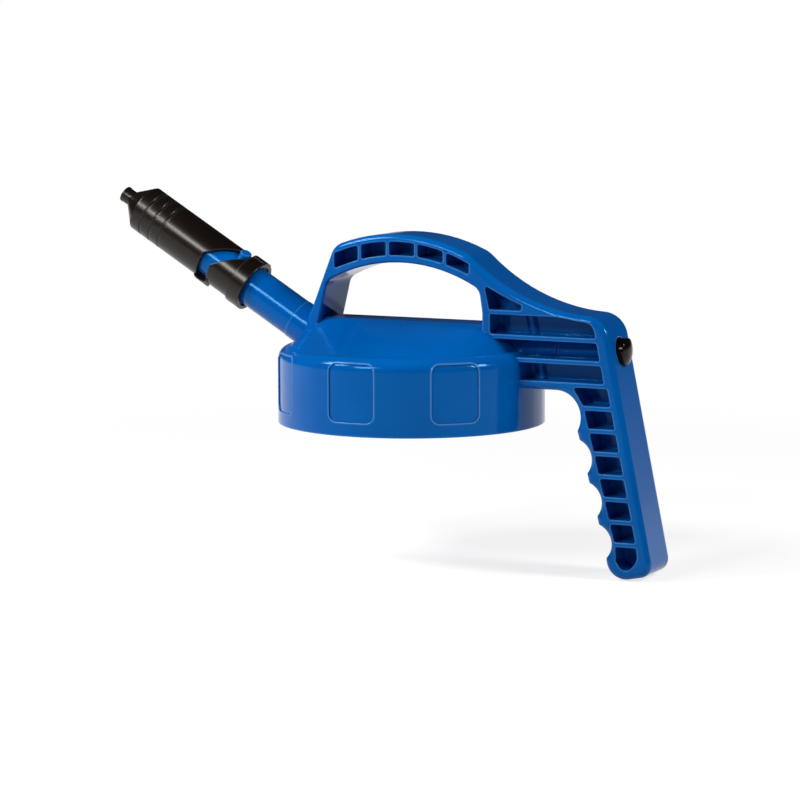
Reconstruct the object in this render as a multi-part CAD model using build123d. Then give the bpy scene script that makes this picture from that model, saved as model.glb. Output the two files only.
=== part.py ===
from build123d import *
import math
import os

os.makedirs("parts", exist_ok=True)

# Pouring cap for an oil container, in millimetres.
# +Z is the screw axis of the cap, the origin is where that axis meets the bottom rim,
# the spout points to -X and the rear grip hangs down at +X.

# Cap shell
skirt_radius = 62.5
skirt_height = 29.5
shoulder_radius = 6.0
skirt_wall = 3.5
dome_wall = 3.0
ridge_height = 47.5
ridge_width = 16.0
ridge_front = -46.0
ridge_rear = 47.0
land_height = 29.5
land_width = 8.0
gasket_room = 3.0
gasket_room_wall = 6.5

thread_wall_radius = skirt_radius - skirt_wall
gasket_room_radius = skirt_radius - gasket_room_wall
land_inner_radius = thread_wall_radius - land_width

# Shallow panels round the skirt
panel_width = 23.0
panel_bottom = 6.0
panel_top = 33.0
panel_depth = 0.5
panel_corner = 4.0
panel_angles = (45, 90, 135, 180, 225, 270, 315)

# Gasket against the land
gasket_thickness = 2.6
gasket_clearance = 0.3

thread_wall_length = land_height - gasket_room

# Handle and grip plate
plate_half = 13.0
web_half = 1.5
edge_round = 3.0
brow_round = 9.0
knee_round = 15.0
nape_round = 12.0
sole_back_round = 6.0
sole_front_round = 9.0
crest_round = 1.2
opening_round = 1.2
opening_corner = 6.0
plate_foot = (-53.0, 36.0)
brow_x = -34.7
knee_x = 35.4
arm_centre = (99.27, 147.2)
arm_radius = 93.4
arm_middle_x = 60.2
nape_z = 53.86
sole_z = -62.5
sole_toe = (105.4, -66.7)
grip_crests = ((103.3, -55.8), (99.8, -40.9), (98.8, -36.9), (95.0, -22.1), (93.8, -17.6), (90.1, -2.8),
               (88.9, 1.5))
grip_hollows = ((105.9, -49.1), (101.0, -31.2), (96.0, -12.0), (90.5, 8.0))
block_underside = (78.6, 19.4)
plate_root = (40.0, 36.0)
back_tilt = 11.5
back_at_base = 113.5
block_back_wall = 5.8
grip_back_wall = 4.6
rib_thickness = 2.0
rib_pitch = 10.2
block_rib_top = 33.7
arch_crown = (-2.0, 87.9)
arch_radius = 86.3
opening_crown = (0.35, 74.8)
opening_radius = 79.3
arch_centre = (arch_crown[0], round(arch_crown[1] - arch_radius, 3))
opening_centre = (opening_crown[0], round(opening_crown[1] - opening_radius, 3))
opening_front = -37.8
opening_rear = 40.6
opening_sill = (-45.0, 35.0)
opening_block = (42.6, 50.0)
arch_rib = 1.6
arch_rib_pitch = 14.6
arch_rib_first = -20.4
arch_rib_count = 4
arch_pocket_front = -33.8
arch_pocket_rear = 35.8
arch_wall = 3.4
pocket_corner = 1.0
arm_pocket_corners = ((45.9, 55.0), (43.5, 66.2), (62.4, 57.5), (61.9, 55.0))
arm_pocket_middle = (53.0, 61.4)
level_ribs = 9
block_pocket_front = 46.3
block_pocket_top = 53.0
block_pocket_crown = ((79.0, 53.0), (91.0, 51.4), (96.2, 50.0))
block_pocket_back = 45.5
grip_pocket_throat = ((92.97, 12.3), (91.4, 15.2))
grip_pocket_corner_x = 87.4
grip_pocket_back = -49.0
grip_pocket_toe = ((117.0, -58.8), (112.4, -60.4), (109.1, -57.0), (108.35, -49.0))
leader_radius = 3.0
leader_inset = 40.0
smooth_join = 0.9
touching = 0.001
overrun = 1.0

# Spout tube, measured along its axis from the nozzle's mouth
spout_tip_x = -155.29
spout_tip_z = 102.19
spout_rise = 31.0
tube_radius = 9.7
tube_bore = 6.9
tube_start = 29.0
tube_step_at = 111.4
tube_step_radius = 9.9
tube_root_inset = 14.7
tube_bore_overrun = 6.0
pin_radius = 2.85
pin_top = 13.1
pin_at = 72.5
pin_angle = 11.5
pin_chamfer = 0.4

# Twist sleeve with its nozzle
sleeve_radius = 11.65
sleeve_clearance = 0.08
sleeve_length = 83.2
collar_start = 75.8
collar_radius = 12.65
nozzle_radius = 3.8
nozzle_lip = 4.0
nozzle_lip_length = 1.0
nozzle_lip_taper = 0.4
nozzle_bore = 2.6
nozzle_length = 4.7
cone_end = 13.5
inner_cone_start = 7.0
inner_cone_end = 15.0
groove_first = 19.4
groove_pitch = 5.9
groove_count = 3
groove_width = 1.1
groove_depth = 0.35
slot_clearance = 0.3
slot_travel = 13.0
slot_turn = 68.5
lid_dwell = 36.5
tip_dwell = 52.0
pad_radius = 13.05
pad_start = 135.0
pad_end = 170.0
pad_margin = 0.3
band_radius = 13.1
band_start = -30.0
band_end = 3.0
mouth_radius = 10.9
mouth_depth = 1.6

# O-rings
tube_ring_at = 34.0
tube_ring_section = 0.75
sleeve_ring_at = 50.0
sleeve_ring_section = 0.5
ring_clearance = 0.05
groove_side_gap = 0.2

# Valve plug in the tube's end
plug_flange_radius = 8.6
plug_flange_thickness = 1.2
plug_shell_length = 6.0
plug_shell_wall = 1.2
plug_pin_radius = 3.6
plug_tip_radius = 2.0
plug_seat_gap = 0.4
plug_arm_width = 1.8
plug_arms = 3
plug_pin_chamfer = 1.0

# Vent button, rod and valve, along X
vent_height = 37.4
vent_tube_radius = 4.2
vent_tube_rear_radius = 4.4
vent_tube_step_at = 75.5
vent_tube_groove = 0.6
vent_boss_length = 5.0
vent_boss_taper = 1.5
vent_tube_overlap = 0.5
vent_bore = 2.5
vent_rod_radius = 1.5
button_radius = 6.1
button_clearance = 0.3
button_face_at = 108.9
button_dome = 1.4
button_length = 4.3
button_pocket_floor = 101.4
button_crown = 1.2
button_pocket_overrun = 10.0
spring_bore = 3.2
spring_seat_at = 88.0
spring_radius = 2.45
spring_wire = 0.35
spring_turns = 7
vent_seat_at = 44.0
vent_boss_radius = 5.6
vent_seal_radius = 4.9
vent_seal_thickness = 2.0
retainer_radius = 3.4
retainer_thickness = 1.0
rod_tail = 1.0
seal_clearance = 0.05
spring_clearance = 0.05


def side_face(*edges):
    """A face in the XZ plane from edges that close."""
    return make_face(Wire(list(edges)))


def xz(x, z):
    return (x, 0, z)


def on_circle(x, centre, radius, side=1):
    """The point at x on the upper (1) or lower (-1) half of a circle in the XZ plane."""
    return xz(x, centre[1] + side * math.sqrt(radius * radius - (x - centre[0]) ** 2))


def across(face, half):
    """The face in the XZ plane made into a plate that reaches half to each side."""
    return extrude(face, amount=half, dir=(0, 1, 0), both=True)


def back_x(z, inset=0.0):
    """X of the grip's straight back at height z, or of a line inset from it."""
    tilt = math.radians(back_tilt)
    return back_at_base - z * math.tan(tilt) - inset / math.cos(tilt)


# Cap shell
def ring_outline(height, radius=0.0, half_width=0.0, front=None, rear=None):
    """Closed wire of four edges: a circle of the radius, or a stadium from front to rear."""
    if front is None:
        s = math.sqrt(0.5) * radius
        corners = ((s, -s), (s, s), (-s, s), (-s, -s))
        mids = ((radius, 0), (0, radius), (-radius, 0), (0, -radius))
        edges = []
        for i, mid in enumerate(mids):
            a = corners[i]
            b = corners[(i + 1) % 4]
            edges.append(ThreePointArc((*a, height), (*mid, height), (*b, height)))
        return Wire(edges)
    a = (rear - half_width, -half_width, height)
    b = (rear - half_width, half_width, height)
    c = (front + half_width, half_width, height)
    d = (front + half_width, -half_width, height)
    return Wire([
        ThreePointArc(a, (rear, 0, height), b),
        Line(b, c),
        ThreePointArc(c, (front, 0, height), d),
        Line(d, a),
    ])


def skirt_solid(inset=0.0):
    """The skirt and its rounded shoulder, or the same shape inset from its surface."""
    round_off = shoulder_radius - inset
    outer = skirt_radius - inset
    base = outer - round_off
    top = skirt_height + round_off
    half = round_off * math.sqrt(0.5)
    section = side_face(
        Line(xz(0, 0), xz(outer, 0)),
        Line(xz(outer, 0), xz(outer, skirt_height)),
        ThreePointArc(xz(outer, skirt_height), xz(base + half, skirt_height + half), xz(base, top)),
        Line(xz(base, top), xz(0, top)),
        Line(xz(0, top), xz(0, 0)),
    )
    return revolve(section, axis=Axis.Z, revolution_arc=360)


def cap_outside():
    top = skirt_height + shoulder_radius
    base = skirt_radius - shoulder_radius
    skirt = skirt_solid()
    dome = loft([
        make_face(ring_outline(top, radius=base)),
        make_face(ring_outline(ridge_height, half_width=ridge_width / 2, front=ridge_front, rear=ridge_rear)),
    ])
    return skirt + dome


def cap_cavity():
    top = skirt_height + shoulder_radius - dome_wall
    room = turned((0, 0), (thread_wall_radius, 0), (thread_wall_radius, thread_wall_length),
                  (gasket_room_radius, thread_wall_length), (gasket_room_radius, land_height),
                  (land_inner_radius, land_height), (land_inner_radius, top), (0, top))
    inset = dome_wall
    dome = loft([
        make_face(ring_outline(top, radius=land_inner_radius)),
        make_face(ring_outline(ridge_height - inset, half_width=(ridge_width - inset) / 2,
                               front=ridge_front + inset, rear=ridge_rear - inset)),
    ])
    return room + dome


def skirt_panels():
    height = panel_top - panel_bottom
    middle = (panel_top + panel_bottom) / 2
    pads = []
    for angle in panel_angles:
        plane = Plane(origin=(0, 0, middle), x_dir=Vector(0, 1, 0).rotate(Axis.Z, angle),
                      z_dir=Vector(1, 0, 0).rotate(Axis.Z, angle))
        pads.append(extrude(plane * RectangleRounded(panel_width, height, panel_corner), 2 * skirt_radius))
    skin = skirt_solid() - skirt_solid(panel_depth)
    return [skin & pad for pad in pads]


# Handle and grip plate
def corner_rounded(face, corners):
    """The face with each listed corner rounded to its radius."""
    for point, radius in corners:
        nearest = face.vertices().sort_by_distance(point)[0]
        face = fillet(nearest, radius)
    return face


def softened(outline):
    """The outline as a face of its own, with every corner that isn't smooth rounded."""
    face = Face(outline.face().wrapped)
    corners = []
    for vertex in face.vertices():
        slopes = [edge % 0 for edge in face.edges() if (edge @ 0 - vertex.center()).length < touching]
        slopes += [edge % 1 for edge in face.edges() if (edge @ 1 - vertex.center()).length < touching]
        if abs(slopes[0].dot(slopes[1])) < smooth_join:
            corners.append(vertex)
    return fillet(corners, pocket_corner)


def plate_outline():
    """Side outline of the arch, the arm and the pistol grip."""
    foot = xz(*plate_foot)
    brow = on_circle(brow_x, arch_centre, arch_radius)
    knee = on_circle(knee_x, arch_centre, arch_radius)
    nape = xz(back_x(nape_z), nape_z)
    sole_back = xz(back_x(sole_z), sole_z)
    toe = xz(*sole_toe)
    crests = [xz(*point) for point in grip_crests]
    hollows = [xz(*point) for point in grip_hollows]
    underside = xz(*block_underside)
    root = xz(*plate_root)
    heel = xz(plate_root[0], block_underside[1])
    edges = [
        Line(foot, brow),
        ThreePointArc(brow, on_circle(0, arch_centre, arch_radius), knee),
        ThreePointArc(knee, on_circle(arm_middle_x, arm_centre, arm_radius, -1), nape),
        Line(nape, sole_back),
        Line(sole_back, toe),
        Line(toe, crests[0]),
    ]
    for i in range(3):
        edges.append(ThreePointArc(crests[2 * i], hollows[i], crests[2 * i + 1]))
        edges.append(Line(crests[2 * i + 1], crests[2 * i + 2]))
    edges += [
        ThreePointArc(crests[6], hollows[3], underside),
        Line(underside, heel),
        Line(heel, root),
        Line(root, foot),
    ]
    corners = [(brow, brow_round), (knee, knee_round), (nape, nape_round), (sole_back, sole_back_round),
               (toe, sole_front_round)]
    corners += [(point, crest_round) for point in crests]
    return corner_rounded(side_face(*edges), corners)


def finger_opening():
    """The opening under the arch, carried down between the legs into the dome."""
    front = on_circle(opening_front, opening_centre, opening_radius)
    rear = on_circle(opening_rear, opening_centre, opening_radius)
    sill = xz(*opening_sill)
    block = xz(*opening_block)
    corner = xz(opening_block[0], opening_sill[1])
    outline = side_face(
        Line(sill, front),
        ThreePointArc(front, on_circle(0, opening_centre, opening_radius), rear),
        Line(rear, block),
        Line(block, corner),
        Line(corner, sill),
    )
    return corner_rounded(outline, [(front, opening_corner), (rear, opening_corner)])


def arch_pockets():
    """The row of pockets in the arch, between its two rims."""
    outer = arch_radius - arch_wall
    inner = opening_radius + arch_wall
    ribs = [arch_rib_first + i * arch_rib_pitch for i in range(arch_rib_count)]
    lefts = [arch_pocket_front] + [x + arch_rib / 2 for x in ribs]
    rights = [x - arch_rib / 2 for x in ribs] + [arch_pocket_rear]
    faces = []
    for left, right in zip(lefts, rights):
        middle = (left + right) / 2
        low_left = on_circle(left, opening_centre, inner)
        low_right = on_circle(right, opening_centre, inner)
        high_left = on_circle(left, arch_centre, outer)
        high_right = on_circle(right, arch_centre, outer)
        faces.append(side_face(
            Line(low_left, high_left),
            ThreePointArc(high_left, on_circle(middle, arch_centre, outer), high_right),
            Line(high_right, low_right),
            ThreePointArc(low_right, on_circle(middle, opening_centre, inner), low_left),
        ))
    return faces


def arm_pocket():
    """The three-cornered pocket under the front of the arm."""
    heel, peak, tip, toe = [xz(*point) for point in arm_pocket_corners]
    return side_face(
        Line(heel, peak),
        ThreePointArc(peak, xz(*arm_pocket_middle), tip),
        Line(tip, toe),
        Line(toe, heel),
    )


def level_bar(top):
    """A level rib as a strip, to be left standing between two pockets."""
    return Pos(back_at_base, 0, top - rib_thickness / 2) * Box(2 * back_at_base, plate_half, rib_thickness)


def grip_pockets():
    """The pockets of the block and the grip, as faces between the level ribs."""
    rib_tops = [block_rib_top - i * rib_pitch for i in range(-1, level_ribs)]
    low = rib_tops[2] - rib_thickness
    crown = [xz(*point) for point in block_pocket_crown]
    block_high = xz(back_x(block_pocket_back, block_back_wall), block_pocket_back)
    block_low = xz(back_x(low, block_back_wall), low)
    front_low = xz(block_pocket_front, low)
    front_high = xz(block_pocket_front, block_pocket_top)
    block = side_face(
        Line(front_low, front_high),
        Line(front_high, crown[0]),
        Spline(*crown, block_high, tangents=((1, 0, -0.1), (0.2, 0, -1))),
        Line(block_high, block_low),
        Line(block_low, front_low),
    )
    throat = [xz(*point) for point in grip_pocket_throat]
    toe = [xz(*point) for point in grip_pocket_toe]
    grip_high = xz(back_x(low, grip_back_wall), low)
    grip_low = xz(back_x(grip_pocket_back, grip_back_wall), grip_pocket_back)
    corner = xz(grip_pocket_corner_x, low)
    grip = side_face(
        Line(corner, grip_high),
        Line(grip_high, grip_low),
        Spline(grip_low, *toe, tangents=((0.2, 0, -1), (-0.16, 0, 1))),
        Line(toe[-1], throat[0]),
        Spline(throat[0], throat[1], corner, tangents=((-0.25, 0, 1), (-0.6, 0, 0.8))),
    )
    for top in rib_tops:
        block = block - level_bar(top)
        grip = grip - level_bar(top)
    return block.faces() + grip.faces()


def rims(solid, low):
    """The edges on both broad sides whose middle is above the dome or behind it."""
    flat = [e for e in solid.edges() if abs(abs(e.center().Y) - plate_half) < 10 * touching]
    return [e for e in flat if (e @ 0.5).Z > low or (e @ 0.5).X > skirt_radius]


def rounded_plate():
    """The plate with its finger opening and rounded rims, before the pockets."""
    plate = across(plate_outline(), plate_half)
    plate = fillet(rims(plate, ridge_height), edge_round)
    opening = finger_opening()
    plate = plate - across(opening, plate_half + overrun)
    boundary = opening.face().outer_wire()
    inner = []
    for edge in rims(plate, ridge_height):
        middle = edge @ 0.5
        if boundary.distance_to(Vector(middle.X, 0, middle.Z)) < 10 * touching:
            inner.append(edge)
    return fillet(inner, opening_round)


def cut_pockets(solid):
    """The plate with every pocket cut into both its sides, down to the web."""
    depth = plate_half - web_half + overrun
    for face in arch_pockets() + [arm_pocket()] + grip_pockets():
        right = Pos(0, web_half, 0) * extrude(softened(face), amount=depth, dir=(0, 1, 0))
        solid = solid - right
        solid = solid - mirror(right, about=Plane.XZ)
    return solid


def flow_leader():
    """The round rib that thickens the web of the block."""
    top = block_rib_top + 2 * rib_pitch
    low = block_rib_top - rib_pitch
    tilt = math.radians(back_tilt)
    length = (top - low) / math.cos(tilt)
    rod = Cylinder(leader_radius, length, align=(Align.CENTER, Align.CENTER, Align.MIN))
    return Pos(back_x(low, leader_inset), 0, low) * Rot(0, -back_tilt, 0) * rod


# Spout tube
spout_angle = math.radians(spout_rise)
spout_dir = (math.cos(spout_angle), 0, -math.sin(spout_angle))
spout_up = (math.sin(spout_angle), 0, math.cos(spout_angle))
spout_plane = Plane(origin=(spout_tip_x, 0, spout_tip_z), x_dir=spout_up, z_dir=spout_dir)
tube_end = (tube_root_inset - skirt_radius - spout_tip_x) / math.cos(spout_angle)


def turned(*points):
    """A body of revolution about the local Z axis, from (radius, height) corners."""
    corners = [(r, 0, h) for r, h in points]
    return revolve(make_face(Wire(Polyline(*corners, close=True).edges())), axis=Axis.Z, revolution_arc=360)


def along_spout(shape):
    return spout_plane.location * shape


def tube_solid():
    tube = turned((0, tube_start), (tube_radius, tube_start), (tube_radius, tube_step_at),
                  (tube_step_radius, tube_step_at), (tube_step_radius, tube_end), (0, tube_end))
    groove = ring_groove(tube_ring_at, tube_radius - 2 * tube_ring_section, tube_radius + overrun,
                         tube_ring_section)
    pin = Pos(0, 0, pin_at) * Rot(0, 0, pin_angle) * Rot(0, 90, 0) * Cylinder(
        pin_radius, pin_top, align=(Align.CENTER, Align.CENTER, Align.MIN))
    pin = chamfer(pin.edges().sort_by(lambda e: e.center().length)[-1], pin_chamfer)
    return tube - groove + pin


def ring_groove(at, inner, outer, section):
    half = section + groove_side_gap
    return turned((inner, at - half), (outer, at - half), (outer, at + half), (inner, at + half))


def o_ring(at, centre_radius, section):
    return Pos(0, 0, at) * Torus(centre_radius, section)


# Twist sleeve
sleeve_bore = tube_radius + sleeve_clearance


def sector(inner, outer, low, high, start, end):
    """Part of a ring about the local Z axis, between two angles."""
    section = make_face(Wire(Polyline((inner, 0, low), (outer, 0, low), (outer, 0, high), (inner, 0, high),
                                      close=True).edges()))
    return Rot(0, 0, start) * revolve(section, axis=Axis.Z, revolution_arc=end - start)


def slot_tools():
    """The Z-shaped cam slot as cuts: a dwell, a helical run and a second dwell, with mitred corners."""
    half = pin_radius + slot_clearance
    low = pin_at - slot_travel
    inner = sleeve_bore - overrun
    outer = band_radius + overrun
    depth = outer - inner
    slope = math.atan2(slot_travel, math.radians(slot_turn) * sleeve_radius)
    mitre = half * math.tan(slope / 2)
    reach = math.degrees(mitre / sleeve_radius)
    rise = mitre * math.sin(slope)
    lid_end = pin_angle - lid_dwell
    tip_start = pin_angle + slot_turn
    tip_end = tip_start + tip_dwell
    tools = [
        sector(inner, outer, pin_at - half, pin_at + half, lid_end, pin_angle + reach),
        sector(inner, outer, low - half, low + half, tip_start - reach, tip_end),
    ]
    peg = Cylinder(half, depth, align=(Align.CENTER, Align.CENTER, Align.MIN))
    for at, angle in ((pin_at, lid_end), (low, tip_end)):
        tools.append(Pos(0, 0, at) * Rot(0, 0, angle) * Rot(0, 90, 0) * Pos(0, 0, inner) * peg)
    path = Helix(pitch=slot_travel * 360 / slot_turn, height=slot_travel + 2 * rise,
                 radius=inner + depth / 2, lefthand=True)
    face = Plane(origin=path @ 0, x_dir=(1, 0, 0), z_dir=path % 0) * Rectangle(depth, 2 * half)
    run = sweep(face, path=path, is_frenet=True)
    tools.append(Pos(0, 0, low - rise) * Rot(0, 0, tip_start + rise * slot_turn / slot_travel) * run)
    return tools


def sleeve_outside():
    """The nozzle, its cone, the barrel and the collar, without the bore."""
    lip = nozzle_lip_length + nozzle_lip_taper
    return turned((0, 0), (nozzle_lip, 0), (nozzle_lip, nozzle_lip_length), (nozzle_radius, lip),
                  (nozzle_radius, nozzle_length), (sleeve_radius, cone_end), (sleeve_radius, collar_start),
                  (collar_radius, collar_start), (collar_radius, sleeve_length), (0, sleeve_length))


def sleeve_solid():
    body = sleeve_outside()
    low = pin_at - slot_travel
    reach = pin_radius + slot_clearance + pad_margin
    end = sleeve_length + overrun
    skin = sleeve_radius + overrun
    floor = sleeve_radius - groove_depth
    body += sector(mouth_radius, pad_radius, low - reach, low + reach, pad_start, pad_end)
    body += sector(mouth_radius, band_radius, collar_start, sleeve_length, band_start, band_end)
    body -= turned((0, inner_cone_end), (sleeve_bore, inner_cone_end), (sleeve_bore, end), (0, end))
    body -= turned((0, inner_cone_start), (nozzle_bore, inner_cone_start), (sleeve_bore, inner_cone_end),
                   (0, inner_cone_end))
    body -= turned((0, -overrun), (nozzle_bore, -overrun), (nozzle_bore, inner_cone_start), (0, inner_cone_start))
    for i in range(groove_count):
        at = groove_first + i * groove_pitch
        near = at - groove_width / 2
        far = at + groove_width / 2
        body -= turned((floor, near), (skin, near), (skin, far), (floor, far))
    mouth = sleeve_length - mouth_depth
    body -= turned((0, mouth), (mouth_radius, mouth), (mouth_radius, end), (0, end))
    ring_floor = tube_radius + ring_clearance * 2 + 2 * sleeve_ring_section
    body -= ring_groove(sleeve_ring_at, sleeve_bore - overrun, ring_floor, sleeve_ring_section)
    for tool in slot_tools():
        body -= tool
    return body


def valve_plug():
    """A flanged spider pressed into the tube's end, with the pin that closes the nozzle."""
    face = tube_start - plug_flange_thickness
    rear = tube_start + plug_shell_length
    inside = tube_bore - plug_shell_wall
    shell = turned((inside, face), (plug_flange_radius, face), (plug_flange_radius, tube_start),
                   (tube_bore, tube_start), (tube_bore, rear), (inside, rear))
    slope = (sleeve_bore - nozzle_bore) / (inner_cone_end - inner_cone_start)
    seat = inner_cone_start + slot_travel
    tip = seat + (plug_tip_radius + plug_seat_gap - nozzle_bore) / slope
    cone = seat + (plug_pin_radius + plug_seat_gap - nozzle_bore) / slope
    bevel = rear - plug_pin_chamfer
    pin = turned((0, tip), (plug_tip_radius, tip), (plug_pin_radius, cone), (plug_pin_radius, bevel),
                 (plug_pin_radius - plug_pin_chamfer, rear), (0, rear))
    plug = shell + pin
    reach = tube_bore - plug_shell_wall / 2
    arm = Box(reach, plug_arm_width, plug_shell_length, align=(Align.CENTER, Align.CENTER, Align.MIN))
    for i in range(plug_arms):
        plug += Pos(0, 0, face) * Rot(0, 0, 360 / plug_arms * i) * Pos(reach / 2, 0, 0) * arm
    return plug


# Vent
def along_x(*points):
    """A body of revolution about the vent's axis, from (x, radius) corners."""
    corners = [(x, 0, vent_height + r) for x, r in points]
    axis = Axis((0, 0, vent_height), (1, 0, 0))
    return revolve(make_face(Wire(Polyline(*corners, close=True).edges())), axis=axis, revolution_arc=360)


def vent_tube():
    rear = button_pocket_floor - vent_tube_overlap
    boss_end = vent_seat_at + vent_boss_length
    groove = vent_tube_step_at + vent_tube_groove
    return along_x((vent_seat_at, 0), (vent_seat_at, vent_boss_radius), (boss_end, vent_boss_radius),
                   (boss_end + vent_boss_taper, vent_tube_radius), (vent_tube_step_at, vent_tube_radius),
                   (vent_tube_step_at, vent_tube_radius - vent_tube_groove),
                   (groove, vent_tube_radius - vent_tube_groove), (groove, vent_tube_rear_radius),
                   (rear, vent_tube_rear_radius), (rear, 0))


def vent_hollow():
    pocket = button_radius + button_clearance
    mouth = button_face_at + button_pocket_overrun
    start = vent_seat_at - overrun
    return along_x((start, 0), (start, vent_bore), (spring_seat_at, vent_bore),
                   (spring_seat_at, spring_bore), (button_pocket_floor, spring_bore),
                   (button_pocket_floor, pocket), (mouth, pocket), (mouth, 0))


def vent_button():
    back = button_face_at - button_length
    face = button_face_at
    rim = button_radius
    crown = face + button_dome
    ball = (rim * rim + button_dome * button_dome) / (2 * button_dome)
    half_angle = math.asin(rim / ball) / 2
    mid = (crown - ball + ball * math.cos(half_angle), 0, vent_height + ball * math.sin(half_angle))
    axis = Axis((0, 0, vent_height), (1, 0, 0))
    h = vent_height
    section = make_face(Wire([
        Line((back, 0, h), (back, 0, h + rim)),
        Line((back, 0, h + rim), (face, 0, h + rim)),
        ThreePointArc((face, 0, h + rim), mid, (crown, 0, h)),
        Line((crown, 0, h), (back, 0, h)),
    ]))
    head = revolve(section, axis=axis, revolution_arc=360)
    socket_end = face - button_crown
    start = back - overrun
    socket = along_x((start, 0), (start, vent_rod_radius), (socket_end, vent_rod_radius), (socket_end, 0))
    return head - socket


def vent_rod():
    start = vent_seat_at - vent_seal_thickness - retainer_thickness - rod_tail
    end = button_face_at - button_crown
    return along_x((start, 0), (start, vent_rod_radius), (end, vent_rod_radius), (end, 0))


def vent_seal():
    back = vent_seat_at - seal_clearance
    front = back - vent_seal_thickness
    return along_x((front, vent_rod_radius), (front, vent_seal_radius), (back, vent_seal_radius),
                   (back, vent_rod_radius))


def seal_retainer():
    back = vent_seat_at - seal_clearance - vent_seal_thickness
    front = back - retainer_thickness
    return along_x((front, vent_rod_radius), (front, retainer_radius), (back, retainer_radius),
                   (back, vent_rod_radius))


def vent_spring():
    """Compression spring between its seat in the tube and the back of the button."""
    low = spring_seat_at + spring_wire + spring_clearance
    high = button_face_at - button_length - spring_wire - spring_clearance
    height = high - low
    path = Helix(pitch=height / spring_turns, height=height, radius=spring_radius)
    face = Plane(origin=path @ 0, z_dir=path % 0) * Circle(spring_wire)
    coil = sweep(face, path=path, is_frenet=True)
    return Pos(low, 0, vent_height) * Rot(0, 90, 0) * coil


def gasket():
    outer = gasket_room_radius - gasket_clearance
    return turned((land_inner_radius + gasket_clearance, land_height - gasket_thickness),
                  (outer, land_height - gasket_thickness), (outer, land_height),
                  (land_inner_radius + gasket_clearance, land_height))


def lid_body():
    body = cap_outside()
    for pad in skirt_panels():
        body = body - pad
    plate = cut_pockets(rounded_plate())
    body = body + (plate + flow_leader()) + along_spout(tube_solid()) + vent_tube()
    body = body - cap_cavity()
    mouth = tube_start - overrun
    inner_end = tube_end + tube_bore_overrun
    body = body - along_spout(turned((0, mouth), (tube_bore, mouth), (tube_bore, inner_end), (0, inner_end)))
    boss_end = vent_seat_at + vent_boss_length
    boss = along_x((vent_seat_at, 0), (vent_seat_at, vent_boss_radius), (boss_end, vent_boss_radius),
                   (boss_end, 0))
    return body + boss - vent_hollow()


nodes = {
    "lid_body": lid_body(),
    "lid_gasket": gasket(),
    "spout_sleeve": along_spout(sleeve_solid()),
    "sleeve_o_ring": along_spout(o_ring(sleeve_ring_at, tube_radius + ring_clearance + sleeve_ring_section,
                                        sleeve_ring_section)),
    "tube_o_ring": along_spout(o_ring(tube_ring_at, sleeve_bore - ring_clearance - tube_ring_section,
                                      tube_ring_section)),
    "valve_plug": along_spout(valve_plug()),
    "vent_button": vent_button(),
    "vent_rod": vent_rod(),
    "vent_seal": vent_seal(),
    "seal_retainer": seal_retainer(),
    "vent_spring": vent_spring(),
}

for name, shape in nodes.items():
    export_step(shape, f"parts/{name}.step")
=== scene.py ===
import bpy
import math
from mathutils import Matrix, Vector


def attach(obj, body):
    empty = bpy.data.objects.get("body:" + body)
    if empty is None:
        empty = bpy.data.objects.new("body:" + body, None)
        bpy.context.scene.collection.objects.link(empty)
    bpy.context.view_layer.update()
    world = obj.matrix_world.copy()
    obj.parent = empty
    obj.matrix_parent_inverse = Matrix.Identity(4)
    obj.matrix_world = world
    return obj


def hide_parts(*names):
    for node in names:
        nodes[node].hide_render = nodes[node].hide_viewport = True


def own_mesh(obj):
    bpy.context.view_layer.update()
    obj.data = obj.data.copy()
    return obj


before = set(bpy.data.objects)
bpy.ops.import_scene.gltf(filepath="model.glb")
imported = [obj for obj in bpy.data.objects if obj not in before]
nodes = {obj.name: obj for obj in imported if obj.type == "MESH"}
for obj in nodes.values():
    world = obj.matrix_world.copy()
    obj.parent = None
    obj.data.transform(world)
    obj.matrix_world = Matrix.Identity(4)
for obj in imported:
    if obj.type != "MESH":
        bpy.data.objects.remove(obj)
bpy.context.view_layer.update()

# Sizes in metres. Those of the skirt, panels, vent and spring are the same as in the CAD.
SKIRT_RADIUS = 0.0625
SKIRT_HEIGHT = 0.0295
SKIRT_BORE = 0.0590
SHOULDER_RADIUS = 0.0060

THREAD_DEPTH = 0.0017
THREAD_ROOT = 0.0006          # how far the ridge reaches into the skirt's wall
THREAD_FOOT = 0.0032          # height of the ridge where it leaves the wall
THREAD_CREST = 0.35           # height of its crest, as a share of the foot
THREAD_PITCH = 0.0060
THREAD_START = 0.0050
THREAD_TURNS = 2.5
THREAD_STEPS = 240

PANEL_WIDTH = 0.0230
PANEL_BOTTOM = 0.0060
PANEL_TOP = 0.0330
PANEL_CORNER = 0.0040
PANEL_ANGLES = (45, 90, 135, 180, 225, 270, 315)
RIM_THICKNESS = 0.00032       # radius of the raised bead
RIM_SUNK = 0.4                # share of that radius below the skirt's surface
RIM_CORNER_STEPS = 10
RIM_SIDE_CUTS = 16            # the straight sides bend round the skirt at these

SPRING_START = 0.0884
SPRING_END = 0.1042
SPRING_RADIUS = 0.00245
SPRING_WIRE = 0.00035         # radius of the wire
SPRING_SIDES = 12             # flats round the wire
SPRING_STEPS = 24             # pieces to each turn
SPRING_TURNS = 7
VENT_AXIS_HEIGHT = 0.0374

EDGE_ROUND = 0.0009           # rounding that the light shows on moulded edges
EDGE_HIGHLIGHT_WIDTH = 0.0008         # width of the paler line along outer edges, a painted highlight

FLOOR_HEIGHT = -0.0656        # just under the grip's lower end
FLOOR_SIZE = 6.0
SHADOW_REACH = 0.20           # the floor keeps its shadow up to here from the axis
WHITE_FROM = 0.62             # and is plain white from here on
FLOOR_GLOW = 0.76             # light of its own that the floor adds to what falls on it
HORIZON = 0.06                # half the height over which the wall goes over to the ceiling


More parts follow.
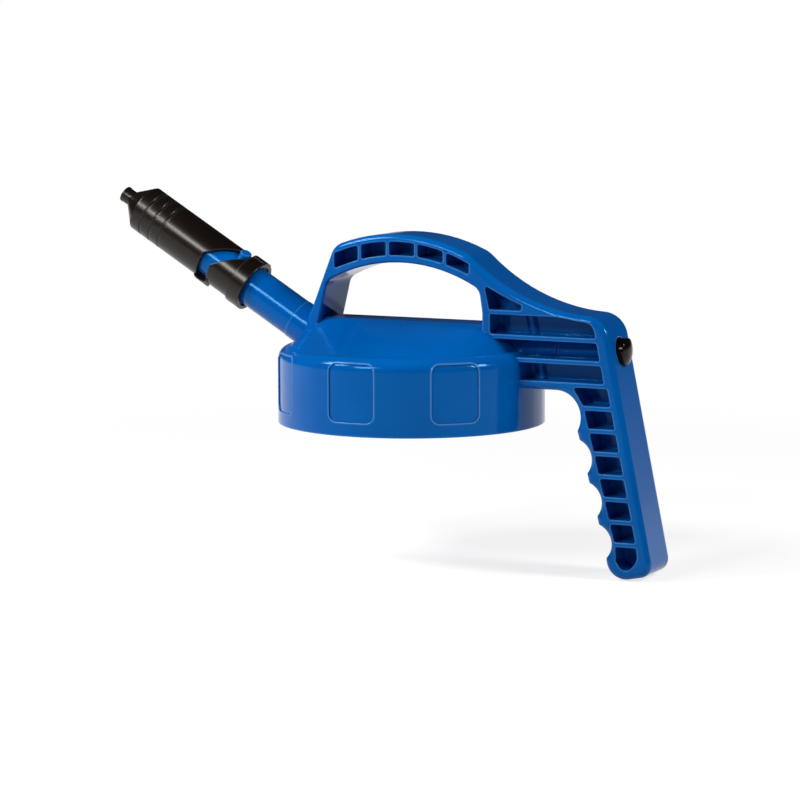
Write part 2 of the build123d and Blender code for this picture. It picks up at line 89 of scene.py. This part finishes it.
def deselect():
    for each in bpy.context.selected_objects:
        each.select_set(False)
    bpy.context.view_layer.objects.active = None


def take(piece):
    """Make this the one selected and active object."""
    deselect()
    piece.select_set(True)
    bpy.context.view_layer.objects.active = piece


def settle(piece):
    """Put the object's place into its mesh."""
    take(piece)
    bpy.ops.object.transform_apply(location=True, rotation=True, scale=True)


# Materials
def new_material(name):
    made = bpy.data.materials.new(name)
    made.use_nodes = True
    made.node_tree.nodes.clear()
    return made, made.node_tree.nodes, made.node_tree.links


def painted_edge_highlight(ns, ln, colour, painted_highlight):
    """The colour, going over to a paler one along the outer edges: a painted highlight."""
    near_edge = ns.new("ShaderNodeAmbientOcclusion")
    near_edge.samples = 4
    near_edge.inside = True
    near_edge.only_local = True
    near_edge.inputs["Distance"].default_value = EDGE_HIGHLIGHT_WIDTH
    highlight_amount = ns.new("ShaderNodeMapRange")
    highlight_amount.inputs["From Min"].default_value = 0.95
    highlight_amount.inputs["From Max"].default_value = 0.55
    highlighted = ns.new("ShaderNodeMix")
    highlighted.data_type = "RGBA"
    factor, plain, pale = highlighted.inputs[0], highlighted.inputs[6], highlighted.inputs[7]
    ln.new(near_edge.outputs["AO"], highlight_amount.inputs["Value"])
    ln.new(highlight_amount.outputs["Result"], factor)
    ln.new(colour, plain)
    pale.default_value = (*painted_highlight, 1.0)
    return highlighted.outputs[2]


def moulded_plastic(name, dark, light, roughness, grain_scale, grain_height, shine,
                    sheen=(1.0, 1.0, 1.0), edge_round=EDGE_ROUND, painted_highlight=None):
    """Slow colour drift, fine orange-peel grain, patchy gloss, softened edges, and a painted
    highlight along the outer edges.
    """
    made, ns, ln = new_material(name)
    out = ns.new("ShaderNodeOutputMaterial")
    skin = ns.new("ShaderNodeBsdfPrincipled")
    coords = ns.new("ShaderNodeTexCoord")

    drift = ns.new("ShaderNodeTexNoise")
    drift.inputs["Scale"].default_value = 26.0
    drift.inputs["Detail"].default_value = 3.0
    shades = ns.new("ShaderNodeValToRGB")
    shades.color_ramp.elements[0].position = 0.32
    shades.color_ramp.elements[0].color = (*dark, 1.0)
    shades.color_ramp.elements[1].position = 0.70
    shades.color_ramp.elements[1].color = (*light, 1.0)
    ln.new(coords.outputs["Object"], drift.inputs["Vector"])
    ln.new(drift.outputs["Fac"], shades.inputs["Fac"])
    colour = shades.outputs["Color"]
    if painted_highlight:
        # paler colour along the outer edges: a painted highlight
        colour = painted_edge_highlight(ns, ln, colour, painted_highlight)
    ln.new(colour, skin.inputs["Base Color"])

    gloss = ns.new("ShaderNodeMapRange")
    gloss.inputs["To Min"].default_value = roughness - 0.035
    gloss.inputs["To Max"].default_value = roughness + 0.045
    ln.new(drift.outputs["Fac"], gloss.inputs["Value"])
    ln.new(gloss.outputs["Result"], skin.inputs["Roughness"])

    peel = ns.new("ShaderNodeTexNoise")
    peel.inputs["Scale"].default_value = grain_scale
    peel.inputs["Detail"].default_value = 4.0
    lift = ns.new("ShaderNodeBump")
    lift.inputs["Strength"].default_value = 0.35
    lift.inputs["Distance"].default_value = grain_height
    ln.new(coords.outputs["Object"], peel.inputs["Vector"])
    ln.new(peel.outputs["Fac"], lift.inputs["Height"])
    if edge_round:
        edge = ns.new("ShaderNodeBevel")
        edge.samples = 6
        edge.inputs["Radius"].default_value = edge_round
        ln.new(edge.outputs["Normal"], lift.inputs["Normal"])
    ln.new(lift.outputs["Normal"], skin.inputs["Normal"])

    skin.inputs["Specular IOR Level"].default_value = shine
    skin.inputs["Specular Tint"].default_value = (*sheen, 1.0)
    skin.inputs["IOR"].default_value = 1.5
    ln.new(skin.outputs["BSDF"], out.inputs["Surface"])
    return made


def spring_wire_material():
    """Bright drawn steel."""
    made, ns, ln = new_material("spring_wire")
    out = ns.new("ShaderNodeOutputMaterial")
    skin = ns.new("ShaderNodeBsdfPrincipled")
    coords = ns.new("ShaderNodeTexCoord")
    drawn = ns.new("ShaderNodeTexNoise")
    drawn.inputs["Scale"].default_value = 1800.0
    polish = ns.new("ShaderNodeMapRange")
    polish.inputs["To Min"].default_value = 0.20
    polish.inputs["To Max"].default_value = 0.34
    ln.new(coords.outputs["Object"], drawn.inputs["Vector"])
    ln.new(drawn.outputs["Fac"], polish.inputs["Value"])
    ln.new(polish.outputs["Result"], skin.inputs["Roughness"])
    skin.inputs["Base Color"].default_value = (0.62, 0.61, 0.58, 1.0)
    skin.inputs["Metallic"].default_value = 1.0
    ln.new(skin.outputs["BSDF"], out.inputs["Surface"])
    return made


BLUE_SHEEN = (0.20, 0.60, 1.0)
BLACK_DARK = (0.004, 0.002, 0.0015)
BLACK_LIGHT = (0.008, 0.005, 0.004)
BLACK_SHEEN = (1.0, 0.92, 0.85)

# Its outer edges get a paler blue: a painted highlight.
blue_polyethylene = moulded_plastic(
    "blue_polyethylene", dark=(0.000, 0.098, 0.395), light=(0.000, 0.117, 0.450), roughness=0.11,
    grain_scale=900.0, grain_height=0.00001, shine=0.31, sheen=BLUE_SHEEN,
    painted_highlight=(0.06, 0.24, 0.61))
# The rims are thinner than the rounding of the other edges, so they show their own shape; their
# paler blue is a painted highlight along the bead
blue_rim_painted_highlight = moulded_plastic(
    "blue_rim_painted_highlight", dark=(0.05, 0.20, 0.56), light=(0.08, 0.25, 0.62), roughness=0.14,
    grain_scale=900.0, grain_height=0.00001, shine=0.50, sheen=BLUE_SHEEN, edge_round=0)
# Its outer edges get a paler black: a painted highlight.
black_nylon = moulded_plastic(
    "black_nylon", dark=BLACK_DARK, light=BLACK_LIGHT, roughness=0.25,
    grain_scale=1500.0, grain_height=0.000015, shine=0.38, sheen=BLACK_SHEEN,
    painted_highlight=(0.028, 0.023, 0.020))
button_plastic = moulded_plastic(
    "button_plastic", dark=BLACK_DARK, light=BLACK_LIGHT, roughness=0.12,
    grain_scale=1200.0, grain_height=0.00001, shine=0.16, sheen=BLACK_SHEEN)
acetal = moulded_plastic(
    "natural_acetal", dark=(0.62, 0.62, 0.58), light=(0.72, 0.71, 0.67), roughness=0.35,
    grain_scale=1400.0, grain_height=0.00002, shine=0.5)
nitrile = moulded_plastic(
    "nitrile_rubber", dark=(0.012, 0.012, 0.012), light=(0.022, 0.022, 0.021), roughness=0.62,
    grain_scale=2200.0, grain_height=0.00005, shine=0.4)
spring_wire = spring_wire_material()

FINISHES = {
    "lid_body": blue_polyethylene,
    "spout_sleeve": black_nylon,
    "valve_plug": black_nylon,
    "vent_button": button_plastic,
    "vent_rod": acetal,
    "lid_gasket": nitrile,
    "sleeve_o_ring": nitrile,
    "tube_o_ring": nitrile,
    "vent_seal": nitrile,
    "seal_retainer": spring_wire,
    "vent_spring": spring_wire,
}
for node, finish in FINISHES.items():
    nodes[node].data.materials.clear()
    nodes[node].data.materials.append(finish)


def neck_thread():
    """Ridge inside the skirt: a narrow band turned up the bore by a screw."""
    width = THREAD_DEPTH + THREAD_ROOT
    deselect()
    bpy.ops.mesh.primitive_plane_add(size=1.0, location=(0, 0, 0))
    ridge = bpy.context.active_object
    ridge.name = "neck_thread_ridge"
    bpy.ops.object.mode_set(mode="EDIT")
    bpy.ops.mesh.select_all(action="SELECT")
    bpy.ops.transform.rotate(value=math.pi / 2, orient_axis="X", center_override=(0, 0, 0))
    bpy.ops.transform.resize(value=(width, 1.0, THREAD_FOOT), center_override=(0, 0, 0))
    bpy.ops.object.mode_set(mode="OBJECT")
    for v in ridge.data.vertices:
        v.co.y = 0.0
        if v.co.x < 0:
            v.co.z = v.co.z * THREAD_CREST
        v.co.x = v.co.x + SKIRT_BORE + THREAD_ROOT - width / 2
        v.co.z = v.co.z + THREAD_START
    take(ridge)
    screw = ridge.modifiers.new("turns", "SCREW")
    screw.axis = "Z"
    screw.angle = 2 * math.pi * THREAD_TURNS
    screw.screw_offset = THREAD_PITCH * THREAD_TURNS
    screw.steps = THREAD_STEPS
    screw.render_steps = THREAD_STEPS
    screw.use_merge_vertices = False
    bpy.ops.object.modifier_apply(modifier="turns")
    bpy.ops.object.mode_set(mode="EDIT")
    bpy.ops.mesh.select_all(action="SELECT")
    bpy.ops.mesh.remove_doubles(threshold=0.000001)
    bpy.ops.mesh.fill_holes(sides=4)
    bpy.ops.mesh.select_all(action="SELECT")
    bpy.ops.mesh.normals_make_consistent(inside=False)
    bpy.ops.object.mode_set(mode="OBJECT")
    settle(ridge)
    ridge.data.materials.append(blue_polyethylene)
    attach(ridge, "cap")


neck_thread()


# Thin raised rim round each panel of the skirt
def skirt_surface(z):
    """Radius of the skirt and its rounded shoulder at this height."""
    above = max(0.0, z - SKIRT_HEIGHT)
    return SKIRT_RADIUS - SHOULDER_RADIUS + math.sqrt(SHOULDER_RADIUS ** 2 - above ** 2)


def select_straight_sides(rim):
    """Select the outline's long edges, and not the short ones of its corners."""
    bpy.ops.object.mode_set(mode="EDIT")
    bpy.ops.mesh.select_all(action="DESELECT")
    bpy.ops.object.mode_set(mode="OBJECT")
    points = rim.data.vertices
    for edge in rim.data.edges:
        start, end = (points[i].co for i in edge.vertices)
        edge.select = (start - end).length > PANEL_CORNER * 0.75


def first_panel_rim():
    """Flat outline with rounded corners, wrapped round the skirt and thickened to a bead."""
    panel_height = PANEL_TOP - PANEL_BOTTOM
    middle = (PANEL_TOP + PANEL_BOTTOM) / 2
    deselect()
    bpy.ops.mesh.primitive_plane_add(size=1.0, location=(0, 0, 0))
    rim = bpy.context.active_object
    rim.name = "panel_rim_first"
    bpy.ops.object.mode_set(mode="EDIT")
    bpy.ops.mesh.select_all(action="SELECT")
    bpy.ops.transform.resize(value=(PANEL_WIDTH, panel_height, 1.0), center_override=(0, 0, 0))
    bpy.ops.mesh.bevel(offset=PANEL_CORNER, segments=RIM_CORNER_STEPS, affect="VERTICES")
    bpy.ops.mesh.delete(type="ONLY_FACE")
    bpy.ops.object.mode_set(mode="OBJECT")
    select_straight_sides(rim)
    bpy.ops.object.mode_set(mode="EDIT")
    bpy.ops.mesh.subdivide(number_cuts=RIM_SIDE_CUTS)
    bpy.ops.object.mode_set(mode="OBJECT")
    for v in rim.data.vertices:
        across, height = v.co.x, v.co.y + middle
        radius = skirt_surface(height) - RIM_THICKNESS * RIM_SUNK
        turned = math.asin(across / radius)
        v.co = (radius * math.cos(turned), radius * math.sin(turned), height)
    take(rim)
    bpy.ops.object.convert(target="CURVE")
    rim.data.bevel_depth = RIM_THICKNESS
    rim.data.bevel_resolution = 3
    bpy.ops.object.convert(target="MESH")
    rim = bpy.context.active_object
    bpy.ops.object.shade_smooth()
    settle(rim)
    return rim


def panel_rims():
    """The first rim, copied to each panel's place."""
    first = first_panel_rim()
    for angle in PANEL_ANGLES:
        take(first)
        bpy.ops.object.duplicate()
        rim = bpy.context.active_object
        rim.name = f"panel_rim_{angle:03d}"
        rim.rotation_euler.z = math.radians(angle)
        settle(rim)
        # the rim's paler blue is a painted highlight
        rim.data.materials.append(blue_rim_painted_highlight)
        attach(rim, "cap")
    bpy.data.objects.remove(first, do_unlink=True)


panel_rims()


def vent_spring_coil():
    """Spring behind the button."""
    deselect()
    bpy.ops.mesh.primitive_circle_add(vertices=SPRING_SIDES, radius=SPRING_WIRE,
                                      location=(0, SPRING_RADIUS, 0))
    coil = bpy.context.active_object
    coil.name = "vent_spring_coil"
    settle(coil)
    screw = coil.modifiers.new("turns", "SCREW")
    screw.axis = "X"
    screw.angle = 2 * math.pi * SPRING_TURNS
    screw.screw_offset = SPRING_END - SPRING_START
    screw.steps = SPRING_STEPS * SPRING_TURNS
    screw.render_steps = SPRING_STEPS * SPRING_TURNS
    bpy.ops.object.modifier_apply(modifier="turns")
    bpy.ops.object.mode_set(mode="EDIT")
    bpy.ops.mesh.select_all(action="SELECT")
    bpy.ops.mesh.fill_holes(sides=16)
    bpy.ops.mesh.select_all(action="SELECT")
    bpy.ops.mesh.normals_make_consistent(inside=False)
    bpy.ops.object.mode_set(mode="OBJECT")
    bpy.ops.object.shade_smooth_by_angle(angle=math.radians(50))
    lowest = min(v.co.x for v in coil.data.vertices)
    for v in coil.data.vertices:
        v.co.x += SPRING_START - SPRING_WIRE - lowest
        v.co.z += VENT_AXIS_HEIGHT
    settle(coil)
    coil.data.materials.append(spring_wire)
    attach(coil, "cap")
    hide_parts("vent_spring")
    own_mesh(coil)


vent_spring_coil()


# Floor, background and lights
def combined(ns, ln, operation, first, second):
    """Two numbers put together by a Math node."""
    both = ns.new("ShaderNodeMath")
    both.operation = operation
    ln.new(first, both.inputs[0])
    ln.new(second, both.inputs[1])
    return both.outputs["Value"]


def seen_directly(ns, ln):
    """1 for rays that see the background itself: from the camera, in gloss, through glass."""
    path = ns.new("ShaderNodeLightPath").outputs
    either = combined(ns, ln, "MAXIMUM", path["Is Camera Ray"], path["Is Glossy Ray"])
    return combined(ns, ln, "MAXIMUM", either, path["Is Transmission Ray"])


def white_emission(ns, strength):
    glow = ns.new("ShaderNodeEmission")
    glow.inputs["Color"].default_value = (1, 1, 1, 1)
    glow.inputs["Strength"].default_value = strength
    return glow.outputs["Emission"]


def white_background(ns, strength):
    glow = ns.new("ShaderNodeBackground")
    glow.inputs["Color"].default_value = (1, 1, 1, 1)
    glow.inputs["Strength"].default_value = strength
    return glow.outputs["Background"]


def matt_paint(ns, colour):
    paint = ns.new("ShaderNodeBsdfDiffuse")
    paint.inputs["Color"].default_value = (*colour, 1.0)
    return paint.outputs["BSDF"]


def mixed(ns, ln, factor, first, second):
    """The first shader where the factor is 0, and the second where it is 1."""
    mix = ns.new("ShaderNodeMixShader")
    ln.new(factor, mix.inputs["Fac"])
    ln.new(first, mix.inputs[1])
    ln.new(second, mix.inputs[2])
    return mix.outputs["Shader"]


def studio_floor():
    """Pale floor: it keeps a faint shadow near the object and fades to the white background."""
    deselect()
    bpy.ops.mesh.primitive_plane_add(size=FLOOR_SIZE, location=(0, 0, FLOOR_HEIGHT))
    floor = bpy.context.active_object
    floor.name = "studio_floor"
    settle(floor)
    made, ns, ln = new_material("pale_floor")
    near = ns.new("ShaderNodeAddShader")
    ln.new(matt_paint(ns, (0.38, 0.375, 0.37)), near.inputs[0])
    ln.new(white_emission(ns, FLOOR_GLOW), near.inputs[1])
    coords = ns.new("ShaderNodeTexCoord")
    reach = ns.new("ShaderNodeVectorMath")
    reach.operation = "LENGTH"
    fade = ns.new("ShaderNodeMapRange")
    fade.interpolation_type = "SMOOTHSTEP"
    fade.inputs["From Min"].default_value = SHADOW_REACH
    fade.inputs["From Max"].default_value = WHITE_FROM
    ln.new(coords.outputs["Object"], reach.inputs[0])
    ln.new(reach.outputs["Value"], fade.inputs["Value"])
    ground = mixed(ns, ln, fade.outputs["Result"], near.outputs["Shader"],
                   white_emission(ns, 1.0))
    pick = mixed(ns, ln, seen_directly(ns, ln), matt_paint(ns, (0.55, 0.55, 0.55)), ground)
    out = ns.new("ShaderNodeOutputMaterial")
    ln.new(pick, out.inputs["Surface"])
    floor.data.materials.append(made)


def studio_world(fill):
    """White where it is seen, with a dim even fill for the object. Gloss sees no ceiling."""
    world = bpy.data.worlds.new("studio_world")
    bpy.context.scene.world = world
    world.use_nodes = True
    ns, ln = world.node_tree.nodes, world.node_tree.links
    ns.clear()
    direction = ns.new("ShaderNodeTexCoord")
    parts = ns.new("ShaderNodeSeparateXYZ")
    wall = ns.new("ShaderNodeMapRange")
    wall.interpolation_type = "SMOOTHSTEP"
    wall.inputs["From Min"].default_value = -HORIZON
    wall.inputs["From Max"].default_value = HORIZON
    wall.inputs["To Min"].default_value = 1.0
    wall.inputs["To Max"].default_value = 0.0
    ln.new(direction.outputs["Generated"], parts.inputs[0])
    ln.new(parts.outputs["Z"], wall.inputs["Value"])
    backdrop = combined(ns, ln, "MULTIPLY", wall.outputs["Result"], seen_directly(ns, ln))
    path = ns.new("ShaderNodeLightPath").outputs
    seen = combined(ns, ln, "MAXIMUM", path["Is Camera Ray"], backdrop)
    out = ns.new("ShaderNodeOutputWorld")
    ln.new(mixed(ns, ln, seen, white_background(ns, fill), white_background(ns, 1.0)),
           out.inputs["Surface"])


def soft_light(name, place, aim, size, watts):
    data = bpy.data.lights.new(name, "AREA")
    data.shape = "RECTANGLE"
    data.size, data.size_y = size
    data.energy = watts
    lamp = bpy.data.objects.new(name, data)
    bpy.context.scene.collection.objects.link(lamp)
    lamp.location = place
    lamp.rotation_mode = "QUATERNION"
    lamp.rotation_quaternion = (Vector(aim) - Vector(place)).to_track_quat("-Z", "Y")


studio_floor()
studio_world(fill=0.02)
soft_light("left_light", place=(-0.56, -0.42, 0.66), aim=(0.0, 0.0, 0.03),
           size=(0.34, 0.28), watts=6.6)
soft_light("right_light", place=(0.80, 0.0, 0.52), aim=(0.10, 0.0, 0.0),
           size=(0.20, 0.20), watts=4.5)
soft_light("front_light", place=(-0.23, -0.81, 0.54), aim=(-0.05, 0.0, 0.05),
           size=(0.30, 0.17), watts=3.5)


# Camera at the photograph's viewing angle
AZIMUTH = math.radians(26.63)
ELEVATION = math.radians(7.40)
ROLL = math.radians(-0.20)
DISTANCE = 1.405
AIM_RIGHT = -0.00543
AIM_HEIGHT = 0.00940


def photo_camera():
    data = bpy.data.cameras.new("photo_camera")
    data.lens = 135.0
    data.sensor_width = 36.0
    data.clip_start = 0.05
    data.clip_end = 20.0
    camera = bpy.data.objects.new("photo_camera", data)
    bpy.context.scene.collection.objects.link(camera)
    right = Vector((math.cos(AZIMUTH), math.sin(AZIMUTH), 0))
    back = Vector((math.sin(AZIMUTH) * math.cos(ELEVATION),
                   -math.cos(AZIMUTH) * math.cos(ELEVATION),
                   math.sin(ELEVATION)))
    up = back.cross(right)
    rolled_right = right * math.cos(ROLL) + up * math.sin(ROLL)
    rolled_up = up * math.cos(ROLL) - right * math.sin(ROLL)
    turn = Matrix((rolled_right, rolled_up, back)).transposed()
    camera.rotation_mode = "QUATERNION"
    camera.rotation_quaternion = turn.to_quaternion()
    camera.location = right * AIM_RIGHT + Vector((0, 0, AIM_HEIGHT)) + back * DISTANCE
    bpy.context.scene.camera = camera


photo_camera()
bpy.context.scene.view_settings.view_transform = "Standard"
